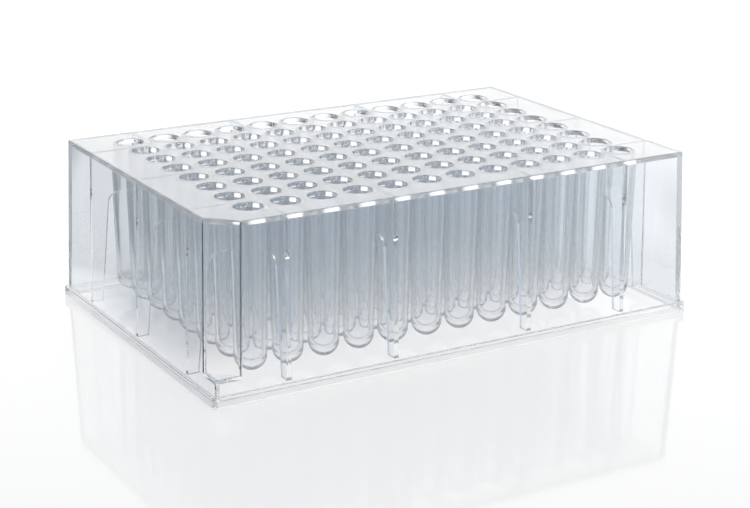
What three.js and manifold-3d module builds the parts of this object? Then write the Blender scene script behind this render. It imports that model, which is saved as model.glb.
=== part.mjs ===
// Deep-well plate with 96 round-bottomed wells, moulded in clear polystyrene as one piece.
// Millimetres, +Z up. The origin is the centre of the base, on the surface that the plate stands on.
// Columns of wells run along X and rows along Y. The notched corner is the one at -X, -Y.

import * as THREE from 'three';
import { mergeVertices } from 'three/addons/utils/BufferGeometryUtils.js';
import Module from 'manifold-3d';

// Outside of the plate. The footprint and the well grid follow the microplate standard.
const footprintLength = 127.76;
const footprintWidth = 85.48;
const plateHeight = 40;

// Wells: a slightly tapered bore that ends in a half sphere, over a bottom thicker than the well's wall.
const wellColumns = 12;
const wellRows = 8;
const wellPitch = 9;
const mouthDiameter = 6.6;
const boreFootDiameter = 5.3;
const wellWall = 0.85;
const wellBottom = 1.7;
const wellBaseClearance = 3;

// Deck and skirt. The skirt leans inwards from its foot to the deck, so that plates nest when stacked.
const deckThickness = 1.3;
const skirtWall = 1.2;
const skirtFootInset = 0.85;
const skirtHeadInset = 2;
const skirtCornerRadius = 0.5;
const innerCornerRadius = 0.25;

// Flange round the foot of the skirt, with a pocket under it for the deck of the plate below.
const flangeHeight = 2.6;
const flangeWall = 1.2;
const flangeCornerRadius = 1;

// Notched corner: the skirt and deck are cut off at 45 degrees above a small triangular ledge.
const notchLeg = 6;
const notchLedgeHeight = 6.1;

// Gusset ribs inside the skirt: a fin that widens upwards, then an arch into a web that meets the wells.
const ribThickness = 1.2;
const finFootDepth = 2.7;
const finHeadDepth = 4.3;
const finHeadHeight = 27;
const archRise = 2.6;
const archRun = 2.8;
const ribsAfterColumns = [1, 4, 8, 11];
const ribsAfterRows = [1, 4, 7];

// How finely round forms are faceted.
const cornerSegments = 3;
const boreSegments = 10;
const wellBodySegments = 8;
const wellBottomSteps = 2;
const archSteps = 4;

// A cut runs this far past the face that it opens.
const cutOverrun = 1;

const wasm = await Module();
wasm.setup();

function toSolid(geometry) {
  geometry.deleteAttribute('normal');
  geometry.deleteAttribute('uv');
  const merged = mergeVertices(geometry);
  const index = merged.index.array;
  const triangles = [];
  for (let i = 0; i < index.length; i += 3) {
    const [a, b, c] = index.slice(i, i + 3);
    const collapsed = a === b || b === c || c === a;
    if (!collapsed) triangles.push(a, b, c);
  }
  return new wasm.Manifold(new wasm.Mesh({
    numProp: 3,
    vertProperties: new Float32Array(merged.attributes.position.array),
    triVerts: new Uint32Array(triangles),
  }));
}

function toGeometry(solid) {
  const mesh = solid.getMesh();
  const geometry = new THREE.BufferGeometry();
  geometry.setAttribute('position', new THREE.BufferAttribute(mesh.vertProperties, mesh.numProp));
  geometry.setIndex(new THREE.BufferAttribute(mesh.triVerts, 1));
  geometry.computeVertexNormals();
  return geometry;
}

function union(solids) {
  return solids.reduce((joined, solid) => joined.add(solid));
}

// Footprint rectangle moved in by inset, with round corners and, where notch is over 0, the cut corner.
function outline(inset, cornerRadius, notch = 0) {
  const x = footprintLength / 2 - inset;
  const y = footprintWidth / 2 - inset;
  const r = cornerRadius;
  const shape = new THREE.Shape();
  if (notch > 0) {
    shape.moveTo(-x, notch - y);
    shape.lineTo(notch - x, -y);
  } else {
    shape.absarc(r - x, r - y, r, Math.PI, 1.5 * Math.PI);
  }
  shape.absarc(x - r, r - y, r, 1.5 * Math.PI, 2 * Math.PI);
  shape.absarc(x - r, y - r, r, 0, 0.5 * Math.PI);
  shape.absarc(r - x, y - r, r, 0.5 * Math.PI, Math.PI);
  return shape.getPoints(cornerSegments);
}

// Solid between two outlines of equal point count, one at each height.
function loft(lowerOutline, lowerZ, upperOutline, upperZ) {
  const count = lowerOutline.length;
  const positions = [
    ...lowerOutline.flatMap((p) => [p.x, p.y, lowerZ]),
    ...upperOutline.flatMap((p) => [p.x, p.y, upperZ]),
  ];
  const triangles = [];
  for (const [a, b, c] of THREE.ShapeUtils.triangulateShape(lowerOutline, [])) {
    triangles.push(a, c, b);
    triangles.push(count + a, count + b, count + c);
  }
  for (let i = 0; i < count; i += 1) {
    const next = (i + 1) % count;
    triangles.push(i, next, count + next);
    triangles.push(i, count + next, count + i);
  }
  const geometry = new THREE.BufferGeometry();
  geometry.setAttribute('position', new THREE.Float32BufferAttribute(positions, 3));
  geometry.setIndex(triangles);
  return toSolid(geometry);
}

// Distance from the footprint's edge to the outside of the skirt at height z.
function skirtInset(z) {
  const lean = (skirtHeadInset - skirtFootInset) / (plateHeight - flangeHeight);
  return skirtFootInset + lean * (z - flangeHeight);
}

// Stretch of the skirt's outer or, with a depth, inner surface, as a solid between two heights.
function skirtStretch(lowerZ, upperZ, depth, notch) {
  const cornerRadius = Math.max(skirtCornerRadius - depth, innerCornerRadius);
  const leg = notch && notch - depth * (2 - Math.SQRT2);
  const outlineAt = (z) => outline(skirtInset(z) + depth, cornerRadius, leg);
  return loft(outlineAt(lowerZ), lowerZ, outlineAt(upperZ), upperZ);
}

// Deck, skirt and flange as one shell, open below.
function makeShell() {
  const ledgeUnderside = notchLedgeHeight - skirtWall;
  const deckUnderside = plateHeight - deckThickness;
  const pocketHeight = flangeHeight - flangeWall;
  const flangeEdge = outline(0, flangeCornerRadius);
  const pocketRadius = Math.max(flangeCornerRadius - flangeWall, innerCornerRadius);
  const pocketEdge = outline(flangeWall, pocketRadius);
  const outside = union([
    loft(flangeEdge, 0, flangeEdge, flangeHeight),
    skirtStretch(flangeHeight, notchLedgeHeight, 0, 0),
    skirtStretch(notchLedgeHeight, plateHeight, 0, notchLeg),
  ]);
  const inside = union([
    loft(pocketEdge, -cutOverrun, pocketEdge, pocketHeight),
    skirtStretch(pocketHeight, ledgeUnderside, skirtWall, 0),
    skirtStretch(ledgeUnderside, deckUnderside, skirtWall, notchLeg),
  ]);
  return outside.subtract(inside);
}

// Turned form of a well or its bore: a half sphere at the foot and a straight taper up to the top.
function wellForm(bottomZ, footRadius, topZ, topRadius, segments) {
  const profile = [new THREE.Vector2(0, bottomZ)];
  for (let step = 1; step <= wellBottomSteps; step += 1) {
    const angle = (step / wellBottomSteps) * (Math.PI / 2);
    const rise = footRadius * (1 - Math.cos(angle));
    profile.push(new THREE.Vector2(footRadius * Math.sin(angle), bottomZ + rise));
  }
  profile.push(new THREE.Vector2(topRadius, topZ));
  profile.push(new THREE.Vector2(0, topZ));
  const geometry = new THREE.LatheGeometry(profile, segments);
  geometry.rotateX(Math.PI / 2);
  return toSolid(geometry);
}

// The bore's taper goes on above the deck, so that the mouth has its true diameter in the deck's top face.
function makeBore() {
  const bottomZ = wellBaseClearance + wellBottom;
  const footRadius = boreFootDiameter / 2;
  const mouthRadius = mouthDiameter / 2;
  const taper = (mouthRadius - footRadius) / (plateHeight - bottomZ - footRadius);
  const topZ = plateHeight + cutOverrun;
  return wellForm(bottomZ, footRadius, topZ, mouthRadius + taper * cutOverrun, boreSegments);
}

// The well's outside ends half way up inside the deck.
function makeWellBody() {
  const footRadius = boreFootDiameter / 2 + wellWall;
  const headRadius = mouthDiameter / 2 + wellWall;
  const topZ = plateHeight - deckThickness / 2;
  return wellForm(wellBaseClearance, footRadius, topZ, headRadius, wellBodySegments);
}

function patternOverWells(solid) {
  const copies = [];
  for (let column = 0; column < wellColumns; column += 1) {
    for (let row = 0; row < wellRows; row += 1) {
      const x = (column - (wellColumns - 1) / 2) * wellPitch;
      const y = (row - (wellRows - 1) / 2) * wellPitch;
      copies.push(solid.translate([x, y, 0]));
    }
  }
  return wasm.Manifold.union(copies);
}

// Rib profile: u runs inwards from the footprint's edge and z upwards. Its outer edge lies inside the skirt's wall.
function ribProfile(reach) {
  const wallCentre = (z) => skirtInset(z) + skirtWall / 2;
  const innerFace = (z) => skirtInset(z) + skirtWall;
  const archTop = finHeadHeight + archRise;
  const deckCentre = plateHeight - deckThickness / 2;
  const archStart = innerFace(finHeadHeight) + finHeadDepth;
  const shape = new THREE.Shape();
  shape.moveTo(wallCentre(flangeHeight), flangeHeight);
  shape.lineTo(innerFace(flangeHeight) + finFootDepth, flangeHeight);
  shape.lineTo(archStart, finHeadHeight);
  shape.absellipse(archStart + archRun, finHeadHeight, archRun, archRise, Math.PI, Math.PI / 2, true);
  shape.lineTo(reach, archTop);
  shape.lineTo(reach, deckCentre);
  shape.lineTo(wallCentre(deckCentre), deckCentre);
  return shape;
}

// One rib, square to the side of the plate that lies at the given turn from -X, and moved along that side.
function makeRib(turn, halfExtent, wellSpan, along) {
  const geometry = new THREE.ExtrudeGeometry(ribProfile(halfExtent - wellSpan / 2), {
    depth: ribThickness,
    bevelEnabled: false,
    curveSegments: archSteps,
  });
  geometry.translate(0, 0, -ribThickness / 2);
  geometry.rotateX(Math.PI / 2);
  geometry.translate(-halfExtent, along, 0);
  geometry.rotateZ(turn);
  return toSolid(geometry);
}

// Ribs stand between columns on the long sides and between rows on the short sides, opposite each other.
function makeRibs() {
  const columnSpan = (wellColumns - 1) * wellPitch;
  const rowSpan = (wellRows - 1) * wellPitch;
  const ribs = [];
  for (const column of ribsAfterColumns) {
    const along = (column - wellColumns / 2) * wellPitch;
    ribs.push(makeRib(Math.PI / 2, footprintWidth / 2, rowSpan, -along));
    ribs.push(makeRib(-Math.PI / 2, footprintWidth / 2, rowSpan, along));
  }
  for (const row of ribsAfterRows) {
    const along = (row - wellRows / 2) * wellPitch;
    ribs.push(makeRib(0, footprintLength / 2, columnSpan, along));
    ribs.push(makeRib(Math.PI, footprintLength / 2, columnSpan, -along));
  }
  return union(ribs);
}

const clearPolystyrene = new THREE.MeshStandardMaterial({
  color: 0xdfe8ee,
  roughness: 0.08,
  metalness: 0,
  transparent: true,
  opacity: 0.35,
});

const moulding = union([makeShell(), makeRibs(), patternOverWells(makeWellBody())])
  .subtract(patternOverWells(makeBore()));

const wellPlate = new THREE.Mesh(toGeometry(moulding), clearPolystyrene);
wellPlate.name = 'well_plate';

const model = new THREE.Group();
model.add(wellPlate);

export default model;
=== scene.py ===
"""Looks for the clear deep-well plate: its fine mesh, clear polystyrene, a white studio and a camera."""

import math

import bmesh
import bpy
from mathutils import Matrix, Vector


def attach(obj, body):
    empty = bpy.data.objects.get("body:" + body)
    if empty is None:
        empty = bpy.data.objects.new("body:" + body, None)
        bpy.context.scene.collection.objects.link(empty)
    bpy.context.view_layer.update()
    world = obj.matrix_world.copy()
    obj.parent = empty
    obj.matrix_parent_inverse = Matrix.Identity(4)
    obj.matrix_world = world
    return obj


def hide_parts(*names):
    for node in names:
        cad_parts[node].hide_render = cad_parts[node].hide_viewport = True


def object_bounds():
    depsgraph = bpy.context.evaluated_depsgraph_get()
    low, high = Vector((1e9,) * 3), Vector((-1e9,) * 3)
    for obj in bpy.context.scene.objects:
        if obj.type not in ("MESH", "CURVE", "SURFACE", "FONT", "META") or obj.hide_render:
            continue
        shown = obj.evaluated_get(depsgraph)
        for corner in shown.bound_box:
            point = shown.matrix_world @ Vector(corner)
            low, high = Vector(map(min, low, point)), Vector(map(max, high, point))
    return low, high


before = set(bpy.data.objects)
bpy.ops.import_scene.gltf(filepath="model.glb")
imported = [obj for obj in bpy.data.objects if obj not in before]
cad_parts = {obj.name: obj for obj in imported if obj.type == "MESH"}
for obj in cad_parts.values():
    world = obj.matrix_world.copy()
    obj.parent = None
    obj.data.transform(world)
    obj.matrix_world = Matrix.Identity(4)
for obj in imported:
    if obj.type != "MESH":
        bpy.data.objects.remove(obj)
cad_low, cad_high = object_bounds()

MM = 0.001

# The plate. Its overall size is the frame's, and the sizes below are those of the CAD part.
LENGTH, WIDTH, HEIGHT = cad_high - cad_low
WELL_COLUMNS = 12
WELL_ROWS = 8
WELL_PITCH = 9 * MM
MOUTH_RADIUS = 3.3 * MM
BORE_FOOT_RADIUS = 2.65 * MM
WELL_BOTTOM = 1.7 * MM
WELL_WALL = 0.85 * MM
WELL_BASE_CLEARANCE = 3 * MM
DECK_THICKNESS = 1.3 * MM
SKIRT_WALL = 1.2 * MM
SKIRT_FOOT_INSET = 0.85 * MM
SKIRT_HEAD_INSET = 2 * MM
SKIRT_CORNER_RADIUS = 0.5 * MM
INNER_CORNER_RADIUS = 0.25 * MM
FLANGE_HEIGHT = 2.6 * MM
FLANGE_WALL = 1.2 * MM
FLANGE_CORNER_RADIUS = 1 * MM
NOTCH_LEG = 6 * MM
NOTCH_LEDGE_HEIGHT = 6.1 * MM
RIB_THICKNESS = 1.2 * MM
FIN_FOOT_DEPTH = 2.7 * MM
FIN_HEAD_DEPTH = 4.3 * MM
FIN_HEAD_HEIGHT = 27 * MM
ARCH_RISE = 2.6 * MM
ARCH_RUN = 2.8 * MM
RIBS_AFTER_COLUMNS = (1, 4, 8, 11)
RIBS_AFTER_ROWS = (1, 4, 7)

# Small roundings that every moulded edge has.
EDGE_RADIUS = 0.22 * MM
DECK_EDGE_RADIUS = 0.3 * MM
MOUTH_LIP_RADIUS = 0.2 * MM
NOTCH_EDGE_RADIUS = 0.6 * MM

# How finely the round forms are cut. A half sphere ends in a small flat, with its rim this share of a step
# out.
WELL_SEGMENTS = 44
HEMISPHERE_STEPS = 7
HEMISPHERE_FLAT = 0.2
CORNER_STEPS = 8
EDGE_STEPS = 3
ARCH_STEPS = 10
SHARP_ANGLE = math.radians(34)

# A cut runs this far past the face that it opens, and joined pieces overlap by as much.
OVERRUN = 1 * MM

# The finishes of the moulding, in the order of the plate's material slots. Those of the wells, the feet
# and the notch's edges carry painted shade.
PLAIN, WELL, DECK, MOUTH, NOTCH_EDGE, WELL_FOOT = range(6)

# Where the finishes change. Down to MOUTH_DEPTH a bore has the mouths' finish, and the deck's top is the
# band under HEIGHT whose faces look up. A face within WELL_REACH of a well's axis can be the well's.
MOUTH_DEPTH = 4 * MM
DECK_TOP_BAND = 0.5 * MM
WELL_REACH = MOUTH_RADIUS + WELL_WALL + 0.05 * MM

# How a face is told by its normal: it looks up, looks down, stands upright, looks straight along an axis,
# or turns from one side to the next.
LOOKS_UP = 0.5
LOOKS_DOWN = -0.1
UPRIGHT = 0.3
SQUARE_ON = 0.9999
TURNING = 0.05

# Polystyrene: its index of refraction, its tint where it is duller and where it is brighter, and the waves
# that a mould leaves.
REFRACTION = 1.59
DULLER_TINT = (0.982, 0.987, 0.991)
BRIGHTER_TINT = (0.988, 0.991, 0.994)
WAVES_PER_METRE = 60
WAVE_DETAIL = 3
WAVE_STRENGTH = 0.02
WAVE_DEPTH = 1 * MM

# A surface with painted shade at glancing angles darkens over this much of Facing.
PAINTED_EDGE_SHADE_SPAN = 0.55

# The camera looks from the -X -Y quarter, turned this far from straight along +Y.
VIEW_YAW = math.radians(-30.69)

# The floor, and its own brightness as the camera sees it and as it lights dull surfaces.
FLOOR_HALF_WIDTH = 3.0
FLOOR_GLOW = 0.71
FLOOR_GLOW_CAST = 0.7

# The room round the plate. The backdrop's heading is measured from +Y towards +X, and it fades in between
# two cosines of the angle from that heading.
BACKDROP_HEADING = math.radians(34)
BACKDROP_FADE = (0.55, 0.93)
ROOM_COLOUR = (0.5, 0.54, 0.58, 1)
CEILING_COLOUR = (0.6, 0.63, 0.67, 1)

# Light crosses many walls before it leaves the wells. With fewer bounces the trapped rays end black.
BOUNCES = 100


def arc_between(before, corner, after, radius, steps):
    """Points of the arc of that radius that rounds a corner of a 2-D line."""
    to_before = (before - corner).normalized()
    to_after = (after - corner).normalized()
    half = to_before.angle(to_after) / 2
    if radius == 0 or math.isclose(half, math.pi / 2, abs_tol=1e-6):
        return [corner]
    centre = corner + (to_before + to_after).normalized() * radius / math.sin(half)
    start = corner + to_before * radius / math.tan(half) - centre
    sweep = math.pi - 2 * half
    if to_before.cross(to_after) > 0:
        sweep = -sweep
    turns = (Matrix.Rotation(sweep * step / steps, 2) for step in range(steps + 1))
    return [centre + turn @ start for turn in turns]


def rounded_line(corners, steps):
    """Open 2-D line through (x, y, radius) corners, each rounded by its own radius."""
    points = [Vector(corner[:2]) for corner in corners]
    line = [points[0]]
    for i in range(1, len(points) - 1):
        line += arc_between(points[i - 1], points[i], points[i + 1], corners[i][2], steps)
    return line + [points[-1]]


def rounded_polygon(corners, steps):
    """Closed 2-D outline through (x, y, radius) corners, each rounded by its own radius."""
    points = [Vector(corner[:2]) for corner in corners]
    outline = []
    for i, point in enumerate(points):
        after = points[(i + 1) % len(points)]
        outline += arc_between(points[i - 1], point, after, corners[i][2], steps)
    return outline


def footprint(inset, radius, notch=0.0):
    """The plate's outline seen from above, moved in by inset.

    With notch, the -X -Y corner is cut off at 45 degrees, that far along each side.
    """
    x = LENGTH / 2 - inset
    y = WIDTH / 2 - inset
    corners = [(x, -y, radius), (x, y, radius), (-x, y, radius)]
    if notch:
        corners += [(-x, notch - y, NOTCH_EDGE_RADIUS), (notch - x, -y, NOTCH_EDGE_RADIUS)]
    else:
        corners += [(-x, -y, radius)]
    return rounded_polygon(corners, CORNER_STEPS)


def skin_rings(mesh, rings):
    """Closes a stack of equal rings of points into one solid, with a flat face at each end."""
    layers = [[mesh.verts.new(point) for point in ring] for ring in rings]
    count = len(layers[0])
    for lower, upper in zip(layers, layers[1:]):
        for i in range(count):
            j = (i + 1) % count
            mesh.faces.new((lower[i], lower[j], upper[j], upper[i]))
    mesh.faces.new(layers[0][::-1])
    mesh.faces.new(layers[-1])


def solid(name, build):
    """Object whose mesh the build function fills."""
    mesh = bmesh.new()
    build(mesh)
    bmesh.ops.recalc_face_normals(mesh, faces=mesh.faces)
    data = bpy.data.meshes.new(name)
    mesh.to_mesh(data)
    mesh.free()
    body = bpy.data.objects.new(name, data)
    bpy.context.scene.collection.objects.link(body)
    return body


def lofted(profile, radius, notch=0.0):
    """Build function for a solid whose outline follows an (inset, z) profile up the plate's side."""
    def build(mesh):
        rings = []
        for inset, z in profile:
            rings.append([(point.x, point.y, z) for point in footprint(inset, radius, notch)])
        skin_rings(mesh, rings)
    return build


def skirt_inset(z):
    """How far the leaning skirt's outside is in from the footprint at a height."""
    lean = (SKIRT_HEAD_INSET - SKIRT_FOOT_INSET) / (HEIGHT - FLANGE_HEIGHT)
    return SKIRT_FOOT_INSET + lean * (z - FLANGE_HEIGHT)


def outside_solids():
    """Flange, foot of the skirt and notched skirt, which together are the outside of the plate."""
    past_edge = 3 * DECK_EDGE_RADIUS
    flange = rounded_line([
        (past_edge, 0, 0),
        (0, 0, EDGE_RADIUS),
        (0, FLANGE_HEIGHT, EDGE_RADIUS),
        (past_edge, FLANGE_HEIGHT, 0),
    ], EDGE_STEPS)
    foot_low = FLANGE_HEIGHT - OVERRUN
    ledge_inset = skirt_inset(NOTCH_LEDGE_HEIGHT)
    foot = rounded_line([
        (skirt_inset(foot_low), foot_low, 0),
        (ledge_inset, NOTCH_LEDGE_HEIGHT, EDGE_RADIUS),
        (ledge_inset + past_edge, NOTCH_LEDGE_HEIGHT, 0),
    ], EDGE_STEPS)
    skirt_low = NOTCH_LEDGE_HEIGHT - OVERRUN
    deck_low = HEIGHT - DECK_THICKNESS
    head_inset = skirt_inset(HEIGHT)
    skirt = rounded_line([
        (skirt_inset(skirt_low), skirt_low, 0),
        (skirt_inset(deck_low), deck_low, 0),
        (head_inset, HEIGHT, DECK_EDGE_RADIUS),
        (head_inset + past_edge, HEIGHT, 0),
    ], EDGE_STEPS)
    return [
        solid("flange", lofted(flange, FLANGE_CORNER_RADIUS)),
        solid("skirt_foot", lofted(foot, SKIRT_CORNER_RADIUS)),
        solid("skirt", lofted(skirt, SKIRT_CORNER_RADIUS, NOTCH_LEG)),
    ]


def inside_solids():
    """The hollow under the deck: the flange's pocket, then below the notch's ledge and above it."""
    pocket_height = FLANGE_HEIGHT - FLANGE_WALL
    ledge_underside = NOTCH_LEDGE_HEIGHT - SKIRT_WALL
    deck_underside = HEIGHT - DECK_THICKNESS
    inner_notch = NOTCH_LEG - SKIRT_WALL * (2 - math.sqrt(2))

    def wall_line(low, high):
        return [(skirt_inset(z) + SKIRT_WALL, z) for z in (low, high)]

    pocket = [(FLANGE_WALL, -OVERRUN), (FLANGE_WALL, pocket_height)]
    lower_hollow = wall_line(pocket_height - OVERRUN, ledge_underside)
    upper_hollow = wall_line(ledge_underside - OVERRUN, deck_underside)
    return [
        solid("pocket", lofted(pocket, INNER_CORNER_RADIUS)),
        solid("lower_hollow", lofted(lower_hollow, INNER_CORNER_RADIUS)),
        solid("upper_hollow", lofted(upper_hollow, INNER_CORNER_RADIUS, inner_notch)),
    ]


def well_centres():
    for column in range(WELL_COLUMNS):
        for row in range(WELL_ROWS):
            x = (column - (WELL_COLUMNS - 1) / 2) * WELL_PITCH
            y = (row - (WELL_ROWS - 1) / 2) * WELL_PITCH
            yield Vector((x, y, 0))


def turned_on_wells(profile):
    """Build function that turns a (radius, z) profile round the axis of every well."""
    def build(mesh):
        for centre in well_centres():
            rings = []
            for radius, z in profile:
                ring = []
                for step in range(WELL_SEGMENTS):
                    angle = math.tau * step / WELL_SEGMENTS
                    ring.append(centre + Vector((radius * math.cos(angle), radius * math.sin(angle), z)))
                rings.append(ring)
            skin_rings(mesh, rings)
    return build


def round_foot(radius, bottom):
    """(radius, z) points of a half sphere from its small flat at the bottom up to its equator."""
    points = []
    for step in range(HEMISPHERE_STEPS + 1):
        angle = math.pi / 2 * max(step, HEMISPHERE_FLAT) / HEMISPHERE_STEPS
        points.append((radius * math.sin(angle), bottom + radius * (1 - math.cos(angle))))
    return points


def bores():
    """The hollow of every well, with a rounded lip, and a ring where the mouth's finish ends."""
    bottom = WELL_BASE_CLEARANCE + WELL_BOTTOM
    lip = rounded_line([
        (BORE_FOOT_RADIUS, bottom + BORE_FOOT_RADIUS, 0),
        (MOUTH_RADIUS, HEIGHT, MOUTH_LIP_RADIUS),
        (MOUTH_RADIUS + 2 * MOUTH_LIP_RADIUS, HEIGHT, 0),
    ], EDGE_STEPS)
    taper = (MOUTH_RADIUS - BORE_FOOT_RADIUS) / (HEIGHT - bottom - BORE_FOOT_RADIUS)
    mouth_low = (MOUTH_RADIUS - taper * MOUTH_DEPTH, HEIGHT - MOUTH_DEPTH)
    profile = round_foot(BORE_FOOT_RADIUS, bottom) + [mouth_low] + [tuple(point) for point in lip[1:-1]]
    lip_radius = profile[-1][0]
    profile.append((lip_radius, HEIGHT + OVERRUN))
    return solid("bores", turned_on_wells(profile))


def well_bodies():
    """The outside of every well, up into the deck."""
    top = HEIGHT - DECK_THICKNESS / 2
    profile = round_foot(BORE_FOOT_RADIUS + WELL_WALL, WELL_BASE_CLEARANCE)
    profile.append((MOUTH_RADIUS + WELL_WALL, top))
    return solid("well_bodies", turned_on_wells(profile))


def rib_profile(reach):
    """Side view of a rib: distance in from the footprint's edge, and height."""
    arch_top = FIN_HEAD_HEIGHT + ARCH_RISE
    deck_centre = HEIGHT - DECK_THICKNESS / 2
    arch_start = skirt_inset(FIN_HEAD_HEIGHT) + SKIRT_WALL + FIN_HEAD_DEPTH
    points = [
        (skirt_inset(FLANGE_HEIGHT) + SKIRT_WALL / 2, FLANGE_HEIGHT),
        (skirt_inset(FLANGE_HEIGHT) + SKIRT_WALL + FIN_FOOT_DEPTH, FLANGE_HEIGHT),
    ]
    for step in range(ARCH_STEPS + 1):
        angle = math.pi / 2 * step / ARCH_STEPS
        across = ARCH_RUN * (1 - math.cos(angle))
        points.append((arch_start + across, FIN_HEAD_HEIGHT + ARCH_RISE * math.sin(angle)))
    points += [
        (reach, arch_top),
        (reach, deck_centre),
        (skirt_inset(deck_centre) + SKIRT_WALL / 2, deck_centre),
    ]
    return points


def ribs():
    """Every rib, as one plate of its profile, turned to face its side and moved along it."""
    long_reach = WIDTH / 2 - (WELL_ROWS - 1) / 2 * WELL_PITCH
    short_reach = LENGTH / 2 - (WELL_COLUMNS - 1) / 2 * WELL_PITCH
    places = []
    for column in RIBS_AFTER_COLUMNS:
        offset = (column - WELL_COLUMNS / 2) * WELL_PITCH
        places.append((math.pi / 2, WIDTH / 2, long_reach, -offset))
        places.append((-math.pi / 2, WIDTH / 2, long_reach, offset))
    for row in RIBS_AFTER_ROWS:
        offset = (row - WELL_ROWS / 2) * WELL_PITCH
        places.append((0, LENGTH / 2, short_reach, offset))
        places.append((math.pi, LENGTH / 2, short_reach, -offset))

    def build(mesh):
        for turn, half_extent, reach, offset in places:
            spin = Matrix.Rotation(turn, 3, "Z")
            rings = []
            for side in (offset - RIB_THICKNESS / 2, offset + RIB_THICKNESS / 2):
                rings.append([spin @ Vector((u - half_extent, side, z)) for u, z in rib_profile(reach)])
            skin_rings(mesh, rings)

    return solid("ribs", build)


def combine(body, operation, others):
    """Joins the others to the body, or cuts them from it, and removes them."""
    for other in others:
        modifier = body.modifiers.new(other.name, "BOOLEAN")
        modifier.operation = operation
        modifier.solver = "MANIFOLD"
        modifier.object = other
    bake_modifiers(body)
    for other in others:
        bpy.data.objects.remove(other)


def bake_modifiers(body):
    """Turns the body's mesh into what its modifiers make of it."""
    graph = bpy.context.evaluated_depsgraph_get()
    baked = bpy.data.meshes.new_from_object(body.evaluated_get(graph))
    body.modifiers.clear()
    body.data = baked


def make_plate():
    """The moulding: its outside, hollowed under the deck, with ribs and wells added and then bored."""
    plate, *rest_of_outside = outside_solids()
    pocket, *rest_of_inside = inside_solids()
    combine(plate, "UNION", rest_of_outside)
    combine(pocket, "UNION", rest_of_inside)
    combine(plate, "DIFFERENCE", [pocket])
    combine(plate, "UNION", [ribs(), well_bodies()])
    combine(plate, "DIFFERENCE", [bores()])
    plate.name = "plate"
    plate.data.name = "plate"
    for polygon in plate.data.polygons:
        polygon.use_smooth = True
    plate.data.set_sharp_from_angle(angle=SHARP_ANGLE)
    weighted = plate.modifiers.new("weighted_normals", "WEIGHTED_NORMAL")
    weighted.keep_sharp = True
    return plate


def clear_polystyrene(name, least_roughness, most_roughness, clearness=1.0, painted_dark_scale=1.0,
                      painted_edge_shade_level=None, painted_edge_shade_start=0.4):
    """Clear plastic with the faint waves and patchy polish of a moulded surface.

    Clearness is the share of light that passes instead of scattering. The tint's scale paints a darker
    surface in place of shade where it is below 1.
    With an edge shade level, the surface has painted shade at glancing angles: it darkens to that level
    from the given Facing on.
    """
    material = bpy.data.materials.new(name)
    material.use_nodes = True
    nodes = material.node_tree.nodes
    links = material.node_tree.links
    shader = nodes["Principled BSDF"]
    shader.inputs["Transmission Weight"].default_value = clearness
    shader.inputs["IOR"].default_value = REFRACTION

    place = nodes.new("ShaderNodeTexCoord")
    flow = nodes.new("ShaderNodeTexNoise")
    flow.inputs["Scale"].default_value = WAVES_PER_METRE
    flow.inputs["Detail"].default_value = WAVE_DETAIL
    links.new(place.outputs["Object"], flow.inputs["Vector"])

    tint = nodes.new("ShaderNodeValToRGB")
    for element, shade in zip(tint.color_ramp.elements, (DULLER_TINT, BRIGHTER_TINT)):
        # A scale below 1 paints the tint dark in place of shade.
        element.color = (*(level * painted_dark_scale for level in shade), 1)
    links.new(flow.outputs["Fac"], tint.inputs["Fac"])
    colour = tint.outputs["Color"]
    # Painted shade: the colour darkens at glancing angles in place of the shade that light gives the
    # edges.
    if painted_edge_shade_level is not None:
        facing = nodes.new("ShaderNodeLayerWeight").outputs["Facing"]
        glancing = rising(material.node_tree, facing, painted_edge_shade_start, painted_edge_shade_start + PAINTED_EDGE_SHADE_SPAN)
        colour = choose(material.node_tree, glancing, colour, grey(painted_edge_shade_level))
    links.new(colour, shader.inputs["Base Color"])

    dullness = nodes.new("ShaderNodeMapRange")
    dullness.inputs["To Min"].default_value = least_roughness
    dullness.inputs["To Max"].default_value = most_roughness
    links.new(flow.outputs["Fac"], dullness.inputs["Value"])
    links.new(dullness.outputs["Result"], shader.inputs["Roughness"])

    waves = nodes.new("ShaderNodeBump")
    waves.inputs["Strength"].default_value = WAVE_STRENGTH
    waves.inputs["Distance"].default_value = WAVE_DEPTH
    links.new(flow.outputs["Fac"], waves.inputs["Height"])
    links.new(waves.outputs["Normal"], shader.inputs["Normal"])
    return material


def make_finishes():
    """The plate's materials, in the order of the finishes' numbers."""
    return [
        clear_polystyrene("clear_polystyrene", 0.0, 0.05),
        # The wells and the ribs' sides have painted shade at glancing angles.
        clear_polystyrene("clear_polystyrene_wells_painted_edge_shade", 0.01, 0.05, painted_edge_shade_level=0.28),
        clear_polystyrene("clear_polystyrene_deck", 0.15, 0.22, clearness=0.84),
        clear_polystyrene("clear_polystyrene_mouths", 0.02, 0.06),
        # The notch's edges are tinted nearly black, a painted dark line in place of shade.
        clear_polystyrene("clear_polystyrene_edges_painted_dark", 0.0, 0.05, painted_dark_scale=0.12),
        # The feet have strong painted shade at glancing angles, which draws dark rims round the wells'
        # bottoms.
        clear_polystyrene("clear_polystyrene_feet_painted_shade", 0.01, 0.05, painted_edge_shade_level=0.02, painted_edge_shade_start=0.3),
    ]


def off_well_axis(point):
    """How far a point is from the axis of the nearest well."""
    return math.hypot(*(point[i] / WELL_PITCH % 1 - 0.5 for i in (0, 1))) * WELL_PITCH


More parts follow.
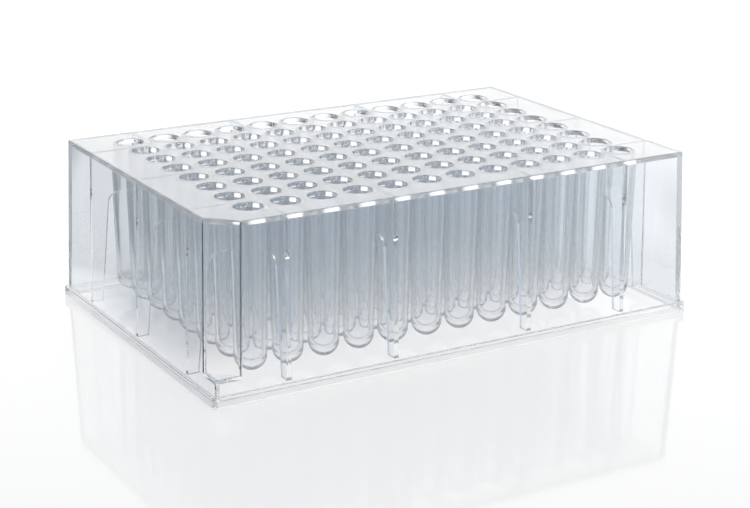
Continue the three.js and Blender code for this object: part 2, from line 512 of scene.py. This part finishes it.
def on_notch_edge(polygon):
    """Whether a face is on the rounding between the notch and the side beside it."""
    x, y, z = polygon.center
    by_notch = x < NOTCH_LEG + SKIRT_WALL - LENGTH / 2 + SKIRT_HEAD_INSET
    outside = y < SKIRT_HEAD_INSET + NOTCH_LEG - WIDTH / 2
    turn_x, turn_y, rise = polygon.normal
    turning = -turn_x > TURNING and -turn_y > TURNING and abs(turn_x - turn_y) > TURNING
    return by_notch and outside and turning and abs(rise) < UPRIGHT and z > NOTCH_LEDGE_HEIGHT


def on_rib_side(polygon):
    """Whether a face is a rib's flat side, which looks straight along X or Y from inside the skirt."""
    for axis, extent in enumerate((LENGTH, WIDTH)):
        inside_skirt = extent / 2 - SKIRT_HEAD_INSET - SKIRT_WALL
        if abs(polygon.normal[axis]) > SQUARE_ON and abs(polygon.center[axis]) < inside_skirt:
            return True
    return False


def finish_of(polygon):
    """Which finish a face of the moulding has.

    The deck's duller finish is on its top and edge, on the flange and under the ribs' arches. The wells'
    finish, with painted shade at glancing angles, is also on the ribs' sides. The mouths have their own
    finish, the feet strong painted shade for dark rims, the notch's edges a tint painted dark, and the
    rest is plain.
    """
    x, y, z = polygon.center
    rise = polygon.normal[2]
    deck_underside = HEIGHT - DECK_THICKNESS
    off_axis = off_well_axis(polygon.center)
    on_grid = abs(x) < WELL_COLUMNS / 2 * WELL_PITCH and abs(y) < WELL_ROWS / 2 * WELL_PITCH
    in_arch = -EDGE_RADIUS < z - FIN_HEAD_HEIGHT < ARCH_RISE + EDGE_RADIUS
    if z > HEIGHT - DECK_TOP_BAND and rise > LOOKS_UP:
        return DECK
    # The notch's edges get the tint that is painted dark.
    if on_notch_edge(polygon):
        return NOTCH_EDGE
    if not on_grid and (z < FLANGE_HEIGHT + EDGE_RADIUS or z > deck_underside):
        return DECK
    if on_grid and off_axis < MOUTH_RADIUS + MOUTH_LIP_RADIUS and z > HEIGHT - MOUTH_DEPTH:
        return MOUTH
    if on_rib_side(polygon) and z < deck_underside:
        return WELL
    # The feet get the finish with painted shade.
    if on_grid and z < WELL_BASE_CLEARANCE + BORE_FOOT_RADIUS + WELL_WALL:
        return WELL_FOOT
    if in_arch and rise < LOOKS_DOWN and off_axis > WELL_REACH:
        return DECK
    if on_grid and off_axis < WELL_REACH and z < deck_underside:
        return WELL
    return PLAIN


def grey(level):
    return (level, level, level, 1)


def choose(tree, factor, when_zero, when_one):
    """Colour that turns from one to the other as the factor goes from 0 to 1. Either can be a socket."""
    choice = tree.nodes.new("ShaderNodeMix")
    choice.data_type = "RGBA"
    tree.links.new(factor, choice.inputs["Factor"])
    sockets = [socket for socket in choice.inputs if socket.type == "RGBA"]
    for socket, value in zip(sockets, (when_zero, when_one)):
        if isinstance(value, bpy.types.NodeSocket):
            tree.links.new(value, socket)
        else:
            socket.default_value = value
    return next(socket for socket in choice.outputs if socket.type == "RGBA")


def ramp_through(tree, value, stops):
    """Colour ramp through (value, colour) stops, read at a value."""
    low_end, high_end = stops[0][0], stops[-1][0]
    scaled = tree.nodes.new("ShaderNodeMapRange")
    scaled.inputs["From Min"].default_value = low_end
    scaled.inputs["From Max"].default_value = high_end
    tree.links.new(value, scaled.inputs["Value"])
    ramp = tree.nodes.new("ShaderNodeValToRGB")
    elements = ramp.color_ramp.elements
    for at, colour in stops[1:-1]:
        elements.new((at - low_end) / (high_end - low_end)).color = colour
    elements[0].color = stops[0][1]
    elements[len(stops) - 1].color = stops[-1][1]
    tree.links.new(scaled.outputs["Result"], ramp.inputs["Fac"])
    return ramp.outputs["Color"]


def rising(tree, value, low, high):
    """0 up to the low value and 1 from the high one on."""
    return ramp_through(tree, value, [(low, grey(0)), (high, grey(1))])


def falling(tree, value, low, high):
    """1 up to the low value and 0 from the high one on."""
    return ramp_through(tree, value, [(low, grey(1)), (high, grey(0))])


def band(tree, value, low, high, softness):
    """1 where the value lies between low and high, 0 beyond them, with soft ends."""
    half = softness / 2
    return ramp_through(tree, value, [
        (low - half, grey(0)),
        (low + half, grey(1)),
        (high - half, grey(1)),
        (high + half, grey(0)),
    ])


def both(tree, first, second):
    """1 where both factors are 1, and 0 where either is 0."""
    return choose(tree, first, grey(0), second)


def along(tree, vector, direction):
    """How far a vector reaches along a direction."""
    dot = tree.nodes.new("ShaderNodeVectorMath")
    dot.operation = "DOT_PRODUCT"
    dot.inputs[1].default_value = direction
    tree.links.new(vector, dot.inputs[0])
    return dot.outputs["Value"]


def painted_floor_shade_under_plate(tree, x, y):
    """Painted floor shade under the plate: light under its near side and left margin, dimmer towards its
    far side.
    """
    near_to_far = ramp_through(tree, y, [
        (-42 * MM, grey(0.84)),
        (-31 * MM, grey(0.8)),
        (-21 * MM, grey(0.77)),
        (-7 * MM, grey(0.58)),
        (7 * MM, grey(0.54)),
        (25 * MM, (0.48, 0.51, 0.54, 1)),
        (42 * MM, (0.5, 0.52, 0.54, 1)),
    ])
    left_margin = grey(0.78)
    in_left_margin = falling(tree, x, -58 * MM, -50 * MM)
    return choose(tree, in_left_margin, near_to_far, left_margin)


def painted_floor_light_and_shade_round_plate(tree, sideways, depth):
    """Painted light and shade round the plate: bluish and dim, darkest in front and far left, lighter past
    its two ends.
    """
    front_to_back = ramp_through(tree, depth, [
        (-30 * MM, (0.3, 0.37, 0.46, 1)),
        (20 * MM, (0.42, 0.45, 0.47, 1)),
        (90 * MM, (0.46, 0.48, 0.5, 1)),
        (220 * MM, (0.9, 0.93, 0.97, 1)),
    ])
    far_left = ramp_through(tree, depth, [
        (-10 * MM, (0.2, 0.24, 0.28, 1)),
        (5 * MM, (0.08, 0.1, 0.12, 1)),
    ])
    front_left = (0.15, 0.19, 0.25, 1)
    left_end = ramp_through(tree, depth, [
        (35 * MM, (0.55, 0.58, 0.6, 1)),
        (60 * MM, (0.56, 0.59, 0.61, 1)),
    ])
    right_end = ramp_through(tree, depth, [
        (35 * MM, (0.52, 0.54, 0.56, 1)),
        (60 * MM, (0.6, 0.62, 0.64, 1)),
    ])

    end_softness = 8 * MM
    behind = rising(tree, depth, -10 * MM, 0)
    at_far_left = falling(tree, sideways, -98 * MM, -84 * MM)
    at_front_left = both(tree, falling(tree, depth, -12 * MM, 0), falling(tree, sideways, -30 * MM, 0))
    at_left_end = both(tree, behind, band(tree, sideways, -94 * MM, -65 * MM, end_softness))
    at_right_end = both(tree, behind, band(tree, sideways, 58 * MM, 86 * MM, end_softness))

    painted_grading = choose(tree, at_far_left, front_to_back, far_left)
    painted_grading = choose(tree, at_front_left, painted_grading, front_left)
    painted_grading = choose(tree, at_left_end, painted_grading, left_end)
    return choose(tree, at_right_end, painted_grading, right_end)


def floor_with_painted_light_and_shade_for_plastic(tree, position):
    """The floor as the plastic sees it, with painted light and shade under the plate and round it."""
    x = along(tree, position, (1, 0, 0))
    y = along(tree, position, (0, 1, 0))
    sideways = along(tree, position, (math.cos(VIEW_YAW), math.sin(VIEW_YAW), 0))
    depth = along(tree, position, (-math.sin(VIEW_YAW), math.cos(VIEW_YAW), 0))
    softness = 4 * MM
    near_overlap = 2 * MM
    under_plate = both(tree, band(tree, x, -LENGTH / 2, LENGTH / 2, softness),
                       band(tree, y, -WIDTH / 2 - near_overlap, WIDTH / 2, softness))
    around = painted_floor_light_and_shade_round_plate(tree, sideways, depth)
    return choose(tree, under_plate, around, painted_floor_shade_under_plate(tree, x, y))


def white_surface():
    """Polished white floor, with painted light and shade where the plastic sees it.

    Most of its brightness is its own, so it stays near white and still takes a shadow.
    """
    material = bpy.data.materials.new("white_floor")
    material.use_nodes = True
    tree = material.node_tree
    shader = tree.nodes["Principled BSDF"]
    shader.inputs["Base Color"].default_value = grey(0.12)
    shader.inputs["Roughness"].default_value = 0.07
    shader.inputs["Emission Strength"].default_value = 1
    place = tree.nodes.new("ShaderNodeTexCoord")
    painted_grading = floor_with_painted_light_and_shade_for_plastic(tree, place.outputs["Object"])
    path = tree.nodes.new("ShaderNodeLightPath")
    # Glossy and transmission rays see the painted light and shade, while the camera and diffuse rays see
    # the plain glow.
    seen = choose(tree, path.outputs["Is Glossy Ray"], grey(FLOOR_GLOW_CAST), painted_grading)
    seen = choose(tree, path.outputs["Is Transmission Ray"], seen, painted_grading)
    glow = choose(tree, path.outputs["Is Camera Ray"], seen, grey(FLOOR_GLOW))
    tree.links.new(glow, shader.inputs["Emission Color"])
    return material


def make_floor():
    """The floor that the plate stands on, which isn't part of the object."""
    def build(mesh):
        signs = [(-1, -1), (1, -1), (1, 1), (-1, 1)]
        mesh.faces.new([mesh.verts.new((x * FLOOR_HALF_WIDTH, y * FLOOR_HALF_WIDTH, 0)) for x, y in signs])

    floor = solid("floor", build)
    floor.data.materials.append(white_surface())
    return floor


def rise_at(degrees):
    """How high a direction of unit length reaches at an angle above the table."""
    return math.sin(math.radians(degrees))


def make_world():
    """White to the camera.

    All else sees a bright backdrop behind the plate and to its right, a dimmer room elsewhere and a grey
    ceiling.
    """
    world = bpy.data.worlds.new("studio")
    bpy.context.scene.world = world
    world.use_nodes = True
    tree = world.node_tree
    direction = tree.nodes.new("ShaderNodeTexCoord").outputs["Generated"]
    towards_backdrop = along(tree, direction, (math.sin(BACKDROP_HEADING), math.cos(BACKDROP_HEADING), 0))
    height = along(tree, direction, (0, 0, 1))
    at_backdrop = rising(tree, towards_backdrop, *BACKDROP_FADE)
    backdrop = ramp_through(tree, height, [
        (rise_at(4), grey(0.65)),
        (rise_at(14), grey(1.42)),
        (rise_at(25), grey(1.38)),
    ])
    wall = choose(tree, at_backdrop, ROOM_COLOUR, backdrop)
    at_ceiling = rising(tree, height, rise_at(28), rise_at(50))
    room = choose(tree, at_ceiling, wall, CEILING_COLOUR)
    path = tree.nodes.new("ShaderNodeLightPath")
    seen = choose(tree, path.outputs["Is Camera Ray"], room, grey(1))
    tree.links.new(seen, tree.nodes["Background"].inputs["Color"])


def make_lamp(name, place, target, size, watts):
    light = bpy.data.lights.new(name, "AREA")
    light.shape = "RECTANGLE"
    light.size, light.size_y = size
    light.energy = watts
    lamp = bpy.data.objects.new(name, light)
    lamp.location = place
    lamp.rotation_euler = (Vector(target) - Vector(place)).to_track_quat("-Z", "Y").to_euler()
    bpy.context.scene.collection.objects.link(lamp)


def make_camera():
    """Camera on the -X -Y side that looks down a little on the plate, with a slight roll."""
    pitch = math.radians(17.84)
    roll = math.radians(0.46)
    distance = 450.8 * MM
    aim_right = 0.71 * MM
    aim_up = 12.05 * MM
    back = Vector((
        math.sin(VIEW_YAW) * math.cos(pitch),
        -math.cos(VIEW_YAW) * math.cos(pitch),
        math.sin(pitch),
    ))
    level_right = Vector((math.cos(VIEW_YAW), math.sin(VIEW_YAW), 0))
    level_up = back.cross(level_right)
    right = math.cos(roll) * level_right + math.sin(roll) * level_up
    up = math.cos(roll) * level_up - math.sin(roll) * level_right
    turn = Matrix((right, up, back)).transposed().to_4x4()
    data = bpy.data.cameras.new("camera")
    data.sensor_width = 36
    data.lens = 87.6
    data.clip_start = 0.01
    camera = bpy.data.objects.new("camera", data)
    place = back * distance + right * aim_right + up * aim_up
    camera.matrix_world = Matrix.Translation(place) @ turn
    bpy.context.scene.collection.objects.link(camera)
    bpy.context.scene.camera = camera


def set_scene():
    scene = bpy.context.scene
    scene.view_settings.view_transform = "Standard"
    scene.cycles.max_bounces = BOUNCES
    scene.cycles.transmission_bounces = BOUNCES
    scene.cycles.glossy_bounces = BOUNCES


set_scene()
plate = make_plate()
plate.data.materials.clear()
for finish in make_finishes():
    plate.data.materials.append(finish)
for polygon in plate.data.polygons:
    polygon.material_index = finish_of(polygon)
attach(plate, "root")
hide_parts("well_plate")
make_floor()
make_world()
make_lamp("overhead", place=(0.2, -0.1, 0.7), target=(0, 0, 0.02), size=(0.5, 0.4), watts=1.8)
make_camera()
